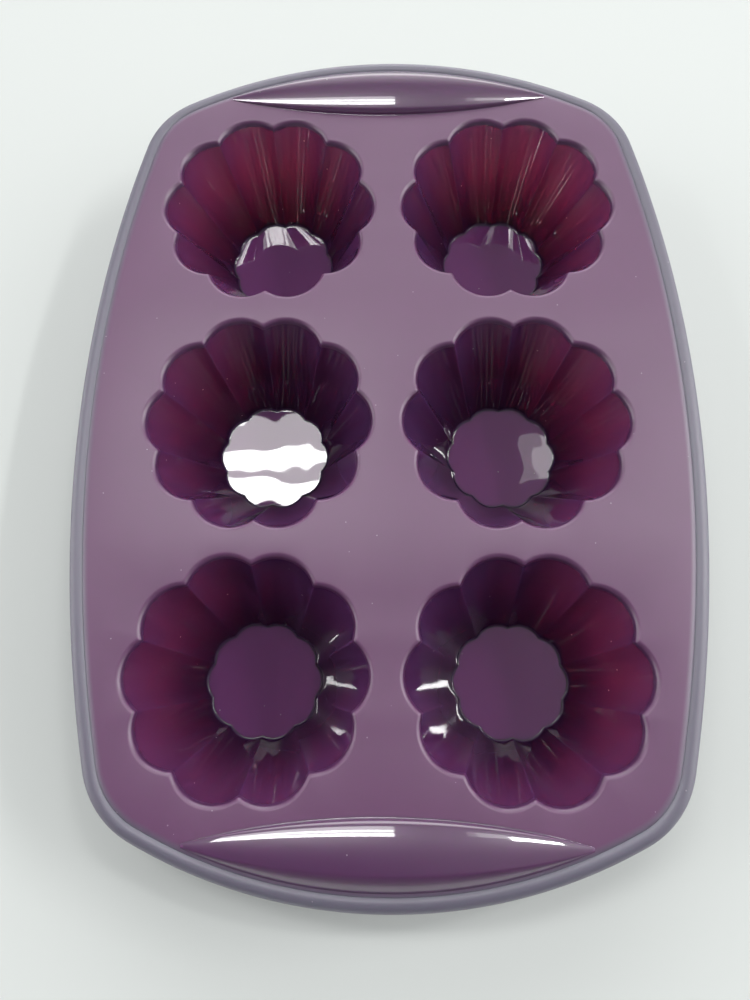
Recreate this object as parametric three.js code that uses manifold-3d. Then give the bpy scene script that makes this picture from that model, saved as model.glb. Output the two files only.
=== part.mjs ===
// Cake mould moulded in translucent silicone: a bowed deck carries fluted cups, a round bead
// edges the deck, and a raised pull grip stands at each end.
// Millimetres, +Z up, +Y from the front grip to the rear one, origin on the table under the middle.
import * as THREE from "three";
import Module from "manifold-3d";

// Cups: fluted bowls in rows and columns, each petal one arc between two creases.
const ROW_NAMES = ["front", "middle", "rear"];
const COLUMN_NAMES = ["left", "right"];
const PETAL_COUNT = 10;
const CUP_DEPTH = 39;
const MOUTH_TIP_RADIUS = 38.4;
const MOUTH_FLUTE_DEPTH = 3.9;
const FLOOR_TIP_RADIUS = 20.3;
const FLOOR_FLUTE_DEPTH = 1.4;
const CUP_WALL = 1.8;
const FLOOR_THICKNESS = 2;
const FLOOR_CHAMFER = 0.9;
const LAND_ACROSS = 9.2;
const LAND_ALONG = 6.3;

// Deck: a flat sheet whose long sides and ends bow outwards between rounded corners.
const DECK_THICKNESS = 2;
const DECK_CHAMFER = 0.8;
const LIP_RADIUS = 0.9;
const SIDE_MARGIN = 22.6;
const SIDE_BOW = 24.6;
const END_BOW = 37.2;
const CORNER_RADIUS = 30;

// Rim: a round bead level with the deck, with a ledge that runs in under the deck's edge.
const BEAD_RADIUS = 3;
const BEAD_GROOVE_ANGLE = THREE.MathUtils.degToRad(35);
const LEDGE_WIDTH = 3;
const LEDGE_TIP = 0.4;
const SEAM_GAP = 0.3;

// Grips: lens-shaped hollow pads between the end cups and the rim. From the cups outwards each one
// has a short steep nose, a long ramp up to its crest and a back that falls to the rim.
const GRIP_WIDTH = 19.8;
const GRIP_HEIGHT = 4.1;
const GRIP_NOSE_WIDTH = 1.4;
const GRIP_NOSE_HEIGHT = 2.1;
const GRIP_BACK_WIDTH = 5.6;
const GRIP_BACK_ROUND = 1.6;
const GRIP_INNER_RADIUS = 246;
const GRIP_WALL = 2;
const GRIP_CLEARANCE = 1.2;
const GRIP_TIP_TRIM = 3;

// Facets along each kind of curve, and how far a cutter overruns the face that it cuts.
const PETAL_STEPS = 6;
const SIDE_STEPS = 10;
const END_STEPS = 12;
const CORNER_STEPS = 7;
const LIP_STEPS = 2;
const BEAD_STEPS = 9;
const GRIP_STATIONS = 16;
const NOSE_STEPS = 2;
const RAMP_STEPS = 4;
const BACK_STEPS = 3;
const CUT_OVERRUN = 1;

// Heights above the table.
const DECK_TOP = FLOOR_THICKNESS + CUP_DEPTH;
const DECK_BOTTOM = DECK_TOP - DECK_THICKNESS;

// Plan: the cup pitch, the insets from the rim's outer edge, and the arcs of the outline.
const PITCH_ACROSS = 2 * MOUTH_TIP_RADIUS + LAND_ACROSS;
const PITCH_ALONG = 2 * MOUTH_TIP_RADIUS + LAND_ALONG;
const CUP_SPAN_ACROSS = PITCH_ACROSS * (COLUMN_NAMES.length - 1);
const CUP_SPAN_ALONG = PITCH_ALONG * (ROW_NAMES.length - 1);
const GROOVE_INSET = BEAD_RADIUS * (1 + Math.sin(BEAD_GROOVE_ANGLE));
const DECK_INSET = GROOVE_INSET + SEAM_GAP;
const GRIP_INSET = DECK_INSET + DECK_CHAMFER;
const GRIP_INNER_Y = CUP_SPAN_ALONG / 2 + MOUTH_TIP_RADIUS + GRIP_CLEARANCE;
const HALF_WIDTH = CUP_SPAN_ACROSS / 2 + MOUTH_TIP_RADIUS + SIDE_MARGIN;
const HALF_LENGTH = GRIP_INNER_Y + GRIP_WIDTH + GRIP_INSET;
const SIDE_RADIUS = bowRadius(HALF_LENGTH, SIDE_BOW);
const END_RADIUS = bowRadius(HALF_WIDTH, END_BOW);
const SIDE_CENTRE = new THREE.Vector2(HALF_WIDTH - SIDE_RADIUS, 0);
const END_CENTRE = new THREE.Vector2(0, HALF_LENGTH - END_RADIUS);
const CORNER_CENTRE = circlesMeet(
  SIDE_CENTRE, SIDE_RADIUS - CORNER_RADIUS, END_CENTRE, END_RADIUS - CORNER_RADIUS);
const GRIP_INNER_CENTRE = new THREE.Vector2(0, GRIP_INNER_Y + GRIP_INNER_RADIUS);

const wasm = await Module();
wasm.setup();

// Radius of an arc that bows out by a given height over half its chord.
function bowRadius(halfChord, bow) {
  return (halfChord ** 2 + bow ** 2) / (2 * bow);
}

// The crossing of two circles that lies furthest to the right and rear.
function circlesMeet(centreA, radiusA, centreB, radiusB) {
  const between = centreB.clone().sub(centreA);
  const distance = between.length();
  const along = (distance ** 2 + radiusA ** 2 - radiusB ** 2) / (2 * distance);
  const across = Math.sqrt(radiusA ** 2 - along ** 2);
  const foot = centreA.clone().addScaledVector(between, along / distance);
  const side = new THREE.Vector2(-between.y, between.x).multiplyScalar(across / distance);
  const crossings = [foot.clone().add(side), foot.clone().sub(side)];
  crossings.sort((a, b) => b.x + b.y - (a.x + a.y));
  return crossings[0];
}

// Points along an arc without its last one, so that arcs chain into a ring.
function arcPoints(centreX, centreY, radius, start, end, steps) {
  return new THREE.ArcCurve(centreX, centreY, radius, start, end).getPoints(steps).slice(0, -1);
}

// Plan points lifted to a height.
function raise(points, z) {
  return points.map((point) => new THREE.Vector3(point.x, point.y, z));
}

// One ring of the mould's outline at a height, drawn in from the rim's outer edge.
function outlineRing(inset, z) {
  const sideAngle = Math.atan2(CORNER_CENTRE.y, CORNER_CENTRE.x - SIDE_CENTRE.x);
  const endAngle = Math.atan2(CORNER_CENTRE.y - END_CENTRE.y, CORNER_CENTRE.x);
  const corner = CORNER_RADIUS - inset;
  const ring = [];
  for (const turn of [1, -1]) {
    const start = turn > 0 ? 0 : Math.PI;
    const sideX = turn * SIDE_CENTRE.x;
    const cornerX = turn * CORNER_CENTRE.x;
    const cornerY = turn * CORNER_CENTRE.y;
    const endY = turn * END_CENTRE.y;
    const side = SIDE_RADIUS - inset;
    const end = END_RADIUS - inset;
    ring.push(
      ...arcPoints(sideX, 0, side, start - sideAngle, start + sideAngle, SIDE_STEPS),
      ...arcPoints(cornerX, cornerY, corner, start + sideAngle, start + endAngle, CORNER_STEPS),
      ...arcPoints(0, endY, end, start + endAngle, start + Math.PI - endAngle, END_STEPS),
      ...arcPoints(-cornerX, cornerY, corner, start + Math.PI - endAngle,
        start + Math.PI - sideAngle, CORNER_STEPS));
  }
  return raise(ring, z);
}

// A fluted outline: petals of one radius whose tips and creases lie on two circles, grown by an offset.
function petalOutline(tipRadius, fluteDepth, offset) {
  const half = Math.PI / PETAL_COUNT;
  const crease = tipRadius - fluteDepth;
  const reach = (tipRadius ** 2 - crease ** 2) / (2 * (tipRadius - crease * Math.cos(half)));
  const radius = tipRadius - reach + offset;
  const grownCrease = reach * Math.cos(half) + Math.sqrt(radius ** 2 - (reach * Math.sin(half)) ** 2);
  const sweep = Math.atan2(grownCrease * Math.sin(half), grownCrease * Math.cos(half) - reach);
  const points = [];
  for (let petal = 0; petal < PETAL_COUNT; petal += 1) {
    const heading = 2 * half * petal;
    const centreX = reach * Math.cos(heading);
    const centreY = reach * Math.sin(heading);
    points.push(...arcPoints(centreX, centreY, radius, heading - sweep, heading + sweep, PETAL_STEPS));
  }
  return points;
}

// One ring of a cup at a height: straight flutes run from the floor's outline to the mouth's.
function cupRing(z, offset) {
  const share = (z - FLOOR_THICKNESS) / CUP_DEPTH;
  const floor = petalOutline(FLOOR_TIP_RADIUS, FLOOR_FLUTE_DEPTH, offset);
  const mouth = petalOutline(MOUTH_TIP_RADIUS, MOUTH_FLUTE_DEPTH, offset);
  return raise(floor.map((point, i) => point.clone().lerp(mouth[i], share)), z);
}

// Skins a stack of rings of equal count. A loop joins the last ring to the first, and any other
// stack is capped at both ends by fans round the rings' middles.
function loft(rings, isLoop) {
  const count = rings[0].length;
  const points = rings.flat();
  const faces = [];
  const bands = isLoop ? rings.length : rings.length - 1;
  for (let band = 0; band < bands; band += 1) {
    const low = band * count;
    const high = ((band + 1) % rings.length) * count;
    for (let i = 0; i < count; i += 1) {
      const next = (i + 1) % count;
      faces.push(low + i, low + next, high + next, low + i, high + next, high + i);
    }
  }
  if (!isLoop) {
    const topStart = (rings.length - 1) * count;
    const bottomMiddle = points.push(ringMiddle(rings[0])) - 1;
    const topMiddle = points.push(ringMiddle(rings.at(-1))) - 1;
    for (let i = 0; i < count; i += 1) {
      const next = (i + 1) % count;
      faces.push(bottomMiddle, next, i, topMiddle, topStart + i, topStart + next);
    }
  }
  const geometry = new THREE.BufferGeometry().setFromPoints(points);
  geometry.setIndex(faces);
  return geometry;
}

// The mean of a ring's points.
function ringMiddle(ring) {
  const total = ring.reduce((sum, point) => sum.add(point), new THREE.Vector3());
  return total.divideScalar(ring.length);
}

// A closed geometry as a solid that can be cut.
function toSolid(geometry) {
  return new wasm.Manifold(new wasm.Mesh({
    numProp: 3,
    vertProperties: new Float32Array(geometry.attributes.position.array),
    triVerts: new Uint32Array(geometry.index.array),
  }));
}

// A cut solid as geometry.
function toGeometry(solid) {
  const mesh = solid.getMesh();
  const geometry = new THREE.BufferGeometry();
  geometry.setAttribute("position", new THREE.BufferAttribute(mesh.vertProperties, mesh.numProp));
  geometry.setIndex(new THREE.BufferAttribute(mesh.triVerts, 1));
  return geometry;
}

// The space that a cup's mouth takes out of the deck, with a rounded lip at the top.
function mouthCutter() {
  const lipStart = DECK_TOP - LIP_RADIUS;
  const rings = [cupRing(DECK_BOTTOM - CUT_OVERRUN, 0)];
  for (let step = 0; step <= LIP_STEPS; step += 1) {
    const angle = (Math.PI / 2) * (step / LIP_STEPS);
    const flare = LIP_RADIUS * (1 - Math.cos(angle));
    rings.push(cupRing(lipStart + LIP_RADIUS * Math.sin(angle), flare));
  }
  rings.push(cupRing(DECK_TOP + CUT_OVERRUN, LIP_RADIUS));
  return loft(rings, false);
}

// Plan of the rear grip drawn in by an inset: how far it reaches sideways, and its edges at any x.
function gripPlan(inset) {
  const innerRadius = GRIP_INNER_RADIUS - inset;
  const outerRadius = END_RADIUS - GRIP_INSET - inset;
  const tip = circlesMeet(GRIP_INNER_CENTRE, innerRadius, END_CENTRE, outerRadius);
  return {
    reach: tip.x - GRIP_TIP_TRIM,
    innerEdge: (x) => GRIP_INNER_CENTRE.y - Math.sqrt(innerRadius ** 2 - x ** 2),
    outerEdge: (x) => END_CENTRE.y + Math.sqrt(outerRadius ** 2 - x ** 2),
  };
}

// A grip's section at its widest, from the rim's side over the crest to the cups' side: distances
// from its inner edge and heights over the deck.
function gripSection() {
  const crestPlace = GRIP_WIDTH - GRIP_BACK_WIDTH;
  const outerEdge = new THREE.Vector2(GRIP_WIDTH, 0);
  const backTop = new THREE.Vector2(crestPlace + GRIP_BACK_ROUND, GRIP_HEIGHT);
  const crest = new THREE.Vector2(crestPlace, GRIP_HEIGHT);
  const rampMiddle = new THREE.Vector2((crestPlace + GRIP_NOSE_WIDTH) / 2, GRIP_HEIGHT);
  const noseTop = new THREE.Vector2(GRIP_NOSE_WIDTH, GRIP_NOSE_HEIGHT);
  const noseCorner = new THREE.Vector2(0, GRIP_NOSE_HEIGHT / 2);
  const innerEdge = new THREE.Vector2(0, 0);
  const back = new THREE.QuadraticBezierCurve(outerEdge, backTop, crest);
  const ramp = new THREE.QuadraticBezierCurve(crest, rampMiddle, noseTop);
  const nose = new THREE.QuadraticBezierCurve(noseTop, noseCorner, innerEdge);
  return [
    ...back.getPoints(BACK_STEPS).slice(0, -1),
    ...ramp.getPoints(RAMP_STEPS).slice(0, -1),
    ...nose.getPoints(NOSE_STEPS)];
}

// A pad over the rear grip's plan. Its section keeps in step with its width, and a foot may drop
// below the deck's top.
function gripPad(inset, height, footDrop) {
  const plan = gripPlan(inset);
  const fullWidth = plan.outerEdge(0) - plan.innerEdge(0);
  const rings = [];
  for (let station = 0; station <= GRIP_STATIONS; station += 1) {
    const x = plan.reach * (2 * (station / GRIP_STATIONS) - 1);
    const inner = plan.innerEdge(x);
    const width = plan.outerEdge(x) - inner;
    const across = width / GRIP_WIDTH;
    const rise = (height / GRIP_HEIGHT) * (width / fullWidth);
    const ring = gripSection().map(
      (point) => new THREE.Vector3(x, inner + across * point.x, DECK_TOP + rise * point.y));
    if (footDrop > 0) {
      ring.push(new THREE.Vector3(x, inner, DECK_TOP - footDrop));
      ring.push(new THREE.Vector3(x, inner + width, DECK_TOP - footDrop));
    }
    rings.push(ring);
  }
  return loft(rings, false);
}

// Where each cup stands, with its name.
function cupPlaces() {
  return ROW_NAMES.flatMap((row, j) => COLUMN_NAMES.map((column, i) => ({
    name: `cup_${row}_${column}`,
    x: PITCH_ACROSS * i - CUP_SPAN_ACROSS / 2,
    y: PITCH_ALONG * j - CUP_SPAN_ALONG / 2,
  })));
}

// The hollow under the rear grip, running down through the deck.
function gripHollow() {
  return toSolid(gripPad(GRIP_WALL, GRIP_HEIGHT - GRIP_WALL, DECK_THICKNESS + CUT_OVERRUN));
}

// The deck: a chamfered sheet with a mouth for each cup and an opening under each grip.
function deckGeometry() {
  let deck = toSolid(loft([
    outlineRing(DECK_INSET, DECK_BOTTOM),
    outlineRing(DECK_INSET, DECK_TOP - DECK_CHAMFER),
    outlineRing(GRIP_INSET, DECK_TOP),
  ], false));
  const mouth = toSolid(mouthCutter());
  for (const place of cupPlaces()) {
    deck = deck.subtract(mouth.translate([place.x, place.y, 0]));
  }
  const hollow = gripHollow();
  const halfTurn = THREE.MathUtils.radToDeg(Math.PI);
  return toGeometry(deck.subtract(hollow).subtract(hollow.rotate([0, 0, halfTurn])));
}

// The rim: up round the bead from its underside to the groove, then the ledge under the deck.
function rimGeometry() {
  const beadZ = DECK_TOP - BEAD_RADIUS;
  const underside = -Math.PI - BEAD_GROOVE_ANGLE;
  const rings = [];
  for (let step = 0; step <= BEAD_STEPS; step += 1) {
    const angle = THREE.MathUtils.lerp(underside, BEAD_GROOVE_ANGLE, step / BEAD_STEPS);
    rings.push(outlineRing(BEAD_RADIUS * (1 + Math.sin(angle)), beadZ + BEAD_RADIUS * Math.cos(angle)));
  }
  const ledgeInset = DECK_INSET + LEDGE_WIDTH;
  rings.push(outlineRing(GROOVE_INSET, DECK_BOTTOM));
  rings.push(outlineRing(ledgeInset, DECK_BOTTOM));
  rings.push(outlineRing(ledgeInset, DECK_BOTTOM - LEDGE_TIP));
  return loft(rings, true);
}

// A cup's fluted wall, standing on the floor and ending under the deck.
function wallGeometry() {
  return loft([
    cupRing(FLOOR_THICKNESS, CUP_WALL),
    cupRing(DECK_BOTTOM, CUP_WALL),
    cupRing(DECK_BOTTOM, 0),
    cupRing(FLOOR_THICKNESS, 0),
  ], true);
}

// A cup's flat floor, scalloped like the wall that stands on it.
function floorGeometry() {
  const foot = petalOutline(FLOOR_TIP_RADIUS, FLOOR_FLUTE_DEPTH, CUP_WALL - FLOOR_CHAMFER);
  const edge = petalOutline(FLOOR_TIP_RADIUS, FLOOR_FLUTE_DEPTH, CUP_WALL);
  return loft([raise(foot, 0), raise(edge, FLOOR_CHAMFER), raise(edge, FLOOR_THICKNESS)], false);
}

// A named piece with its finish.
function piece(name, geometry, color, roughness) {
  geometry.computeVertexNormals();
  const material = new THREE.MeshStandardMaterial({ color, roughness, metalness: 0 });
  const mesh = new THREE.Mesh(geometry, material);
  mesh.name = name;
  return mesh;
}

const DECK_COLOUR = 0x6b4568;
const RIM_COLOUR = 0x7d7286;
const GLOSS_COLOUR = 0x4b1f48;
const SATIN = 0.45;
const GLOSS = 0.12;

const mould = new THREE.Group();
mould.add(piece("deck", deckGeometry(), DECK_COLOUR, SATIN));
mould.add(piece("rim_bead", rimGeometry(), RIM_COLOUR, SATIN));

const gripShape = toGeometry(toSolid(gripPad(0, GRIP_HEIGHT, 0)).subtract(gripHollow()));
for (const [name, turn] of [["rear_grip", 0], ["front_grip", Math.PI]]) {
  const grip = piece(name, gripShape, GLOSS_COLOUR, GLOSS);
  grip.rotation.z = turn;
  mould.add(grip);
}

const wallShape = wallGeometry();
const floorShape = floorGeometry();
for (const place of cupPlaces()) {
  const cup = new THREE.Group();
  cup.position.set(place.x, place.y, 0);
  cup.add(piece(`${place.name}_wall`, wallShape, GLOSS_COLOUR, GLOSS));
  cup.add(piece(`${place.name}_floor`, floorShape, GLOSS_COLOUR, GLOSS));
  mould.add(cup);
}

export default mould;
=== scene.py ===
"""Looks of a silicone cake mould: satin deck, rolled rim, glossy fluted cups and pull grips."""

import logging
import math
from dataclasses import dataclass, field
from enum import Enum
from itertools import pairwise

import bmesh
import bpy
from mathutils import Matrix, Vector


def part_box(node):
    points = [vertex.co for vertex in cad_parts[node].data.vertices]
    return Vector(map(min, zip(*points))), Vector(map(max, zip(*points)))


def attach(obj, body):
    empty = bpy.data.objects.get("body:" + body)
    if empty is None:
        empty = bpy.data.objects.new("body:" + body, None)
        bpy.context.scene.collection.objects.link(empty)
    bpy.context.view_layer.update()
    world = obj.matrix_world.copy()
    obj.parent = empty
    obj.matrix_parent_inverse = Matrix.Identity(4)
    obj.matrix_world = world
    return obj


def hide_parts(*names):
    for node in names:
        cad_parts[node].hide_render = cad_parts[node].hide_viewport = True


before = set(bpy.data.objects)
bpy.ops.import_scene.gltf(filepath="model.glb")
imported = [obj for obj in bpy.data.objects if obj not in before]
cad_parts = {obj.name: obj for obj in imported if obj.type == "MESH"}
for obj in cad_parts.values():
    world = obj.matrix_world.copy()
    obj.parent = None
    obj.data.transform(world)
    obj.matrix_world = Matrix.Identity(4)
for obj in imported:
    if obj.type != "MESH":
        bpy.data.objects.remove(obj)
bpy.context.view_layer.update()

LOG = logging.getLogger("cake_mould")
MM = 0.001
UP = Vector((0.0, 0.0, 1.0))
WELD = 0.002 * MM
BODY = "root"

Point = tuple[float, float]
Colour = tuple[float, float, float]
Edges = list[bmesh.types.BMEdge]

# Colour of the rim bead: the silicone's purple, made pale grey lilac by painted sheen.
SHEENED_RIM_LILAC: Colour = (0.155, 0.142, 0.195)


def sweep(bm: bmesh.types.BMesh, geom: list, centre: Point, angle: float, steps: int) -> list:
    """Turns points or a profile about an upright axis.

    Args:
        bm: Mesh that holds the geometry.
        geom: Vertices and edges to turn.
        centre: Place of the axis, in metres.
        angle: Angle to turn through, in radians.
        steps: Steps along the arc.

    Returns:
        The geometry at the end of the arc.
    """
    middle = Vector((centre[0], centre[1], 0.0))
    turned = bmesh.ops.spin(bm, geom=geom, cent=middle, axis=UP, angle=angle, steps=steps)
    return turned["geom_last"]


def fresh(bm: bmesh.types.BMesh, before: set) -> Edges:
    """Edges that were made since a set of edges was taken.

    Args:
        bm: Mesh to look in.
        before: Edges that were there already.

    Returns:
        The new edges.
    """
    return [edge for edge in bm.edges if edge not in before]


def verts_of(edges: Edges) -> set[bmesh.types.BMVert]:
    """Vertices of these edges."""
    return {vert for edge in edges for vert in edge.verts}


def weld(bm: bmesh.types.BMesh, edges: Edges) -> None:
    """Joins the vertices of these edges where they meet."""
    bmesh.ops.remove_doubles(bm, verts=list(verts_of(edges)), dist=WELD)


def skin(bm: bmesh.types.BMesh, rings: list[Edges]) -> None:
    """Bridges each ring of edges to the next one."""
    for low, high in pairwise(rings):
        bmesh.ops.bridge_loops(bm, edges=low + high)


def quarter_round(radius: float, steps: int) -> list[Point]:
    """Steps round a quarter circle.

    Args:
        radius: Radius of the circle.
        steps: Steps along it.

    Returns:
        Pairs of the distance along the way it starts and across to the way it ends.
    """
    angles = [math.pi / 2 * step / steps for step in range(steps + 1)]
    return [(radius * math.sin(angle), radius * (1 - math.cos(angle))) for angle in angles]


def bow(start: Point, corner: Point, end: Point, share: float) -> Point:
    """A point on a curve that leaves its start and reaches its end in line with a corner.

    Args:
        start: First point.
        corner: Corner that the curve rounds.
        end: Last point.
        share: How far along the curve, from 0 to 1.

    Returns:
        The point.
    """
    rest = 1.0 - share
    weights = (rest * rest, 2.0 * rest * share, share * share)
    points = (start, corner, end)
    return (sum(weight * point[0] for weight, point in zip(weights, points)),
            sum(weight * point[1] for weight, point in zip(weights, points)))


class Polish(Enum):
    """How smooth the tool's steel left a surface: roughness, depth of its fine grain and clear glaze."""

    SATIN = (0.44, 0.25, 0.0)
    GLAZED = (0.30, 0.03, 1.0)
    GLOSS = (0.035, 0.03, 0.0)
    MIRROR = (0.02, 0.0, 0.0)

    @property
    def roughness(self) -> float:
        """Roughness of the surface."""
        return self.value[0]

    @property
    def grain(self) -> float:
        """Depth of the fine grain, from 0 to 1."""
        return self.value[1]

    @property
    def glaze(self) -> float:
        """How much of a clear, smooth glaze lies over the surface, from 0 to 1."""
        return self.value[2]


class ShaderSheet:
    """A node tree with short ways to add and link nodes."""

    def __init__(self, tree: bpy.types.NodeTree) -> None:
        """Keeps the tree that the nodes go into."""
        self.tree = tree

    def add(self, kind: str, values: dict[str | int, object] | None = None,
            **settings: object) -> bpy.types.Node:
        """Adds a node.

        Args:
            kind: Blender's name for the node's type.
            values: Inputs to set on it.
            settings: Properties to set on it first.

        Returns:
            The new node.
        """
        node = self.tree.nodes.new(kind)
        for name, value in settings.items():
            setattr(node, name, value)
        for name, value in (values or {}).items():
            node.inputs[name].default_value = value
        return node

    def link(self, source: bpy.types.NodeSocket, target: bpy.types.NodeSocket) -> None:
        """Links an output to an input."""
        self.tree.links.new(source, target)

    def tint(self, factor: bpy.types.NodeSocket, colour: bpy.types.NodeSocket,
             other: Colour) -> bpy.types.NodeSocket:
        """Turns a colour into a fixed one.

        Args:
            factor: How far it turns, from 0 to 1.
            colour: Colour to start from.
            other: Colour to end at, linear.

        Returns:
            The colour in between.
        """
        mix = self.add("ShaderNodeMix", {"B": (*other, 1.0)}, data_type="RGBA")
        self.link(factor, mix.inputs["Factor"])
        self.link(colour, mix.inputs["A"])
        return mix.outputs["Result"]

    def span(self, value: bpy.types.NodeSocket, source: Point, target: Point,
             shape: str = "LINEAR") -> bpy.types.NodeSocket:
        """Maps a value from one range to another.

        Args:
            value: Value to map.
            source: Ends of its range.
            target: Ends of the range that it is mapped to.
            shape: Blender's name for the way between the ends.

        Returns:
            The mapped value.
        """
        ends = {"From Min": source[0], "From Max": source[1], "To Min": target[0], "To Max": target[1]}
        mapped = self.add("ShaderNodeMapRange", ends, interpolation_type=shape)
        self.link(value, mapped.inputs["Value"])
        return mapped.outputs["Result"]


class SkinEffect:
    """Shared node group: soft waves and fine grain of moulded silicone, and drifting tone."""

    NAME = "moulded_skin"
    DETAIL = {"Wave": 1.0, "Grain": 3.0, "Tone": 2.0}

    def __init__(self) -> None:
        """Builds the group."""
        self.tree = bpy.data.node_groups.new(self.NAME, "ShaderNodeTree")
        self._sockets()
        self._nodes()

    def _sockets(self) -> None:
        """Makes the group's inputs and outputs."""
        ports = self.tree.interface
        ports.new_socket("Vector", in_out="INPUT", socket_type="NodeSocketVector")
        for name in (*(f"{layer} Scale" for layer in self.DETAIL), "Grain Share"):
            ports.new_socket(name, in_out="INPUT", socket_type="NodeSocketFloat")
        for name in ("Height", "Tone"):
            ports.new_socket(name, in_out="OUTPUT", socket_type="NodeSocketFloat")

    def _nodes(self) -> None:
        """Wires the waves, the grain and the tone."""
        sheet = ShaderSheet(self.tree)
        inputs = sheet.add("NodeGroupInput")
        outputs = sheet.add("NodeGroupOutput")
        layers = {}
        for layer, detail in self.DETAIL.items():
            noise = sheet.add("ShaderNodeTexNoise", {"Detail": detail})
            sheet.link(inputs.outputs["Vector"], noise.inputs["Vector"])
            sheet.link(inputs.outputs[f"{layer} Scale"], noise.inputs["Scale"])
            layers[layer] = noise.outputs["Fac"]
        share = sheet.add("ShaderNodeMath", operation="MULTIPLY_ADD")
        sheet.link(layers["Grain"], share.inputs[0])
        sheet.link(inputs.outputs["Grain Share"], share.inputs[1])
        sheet.link(layers["Wave"], share.inputs[2])
        sheet.link(share.outputs["Value"], outputs.inputs["Height"])
        sheet.link(layers["Tone"], outputs.inputs["Tone"])


class DustEffect:
    """Shared node group: sparse pale specks of dust that silicone picks up."""

    NAME = "dust_specks"

    def __init__(self) -> None:
        """Builds the group."""
        self.tree = bpy.data.node_groups.new(self.NAME, "ShaderNodeTree")
        ports = self.tree.interface
        ports.new_socket("Vector", in_out="INPUT", socket_type="NodeSocketVector")
        for name in ("Scale", "Size"):
            ports.new_socket(name, in_out="INPUT", socket_type="NodeSocketFloat")
        ports.new_socket("Mask", in_out="OUTPUT", socket_type="NodeSocketFloat")
        sheet = ShaderSheet(self.tree)
        inputs = sheet.add("NodeGroupInput")
        outputs = sheet.add("NodeGroupOutput")
        cells = sheet.add("ShaderNodeTexVoronoi")
        near = sheet.add("ShaderNodeMath", operation="LESS_THAN")
        sheet.link(inputs.outputs["Vector"], cells.inputs["Vector"])
        sheet.link(inputs.outputs["Scale"], cells.inputs["Scale"])
        sheet.link(cells.outputs["Distance"], near.inputs[0])
        sheet.link(inputs.outputs["Size"], near.inputs[1])
        sheet.link(near.outputs["Value"], outputs.inputs["Mask"])


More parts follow.
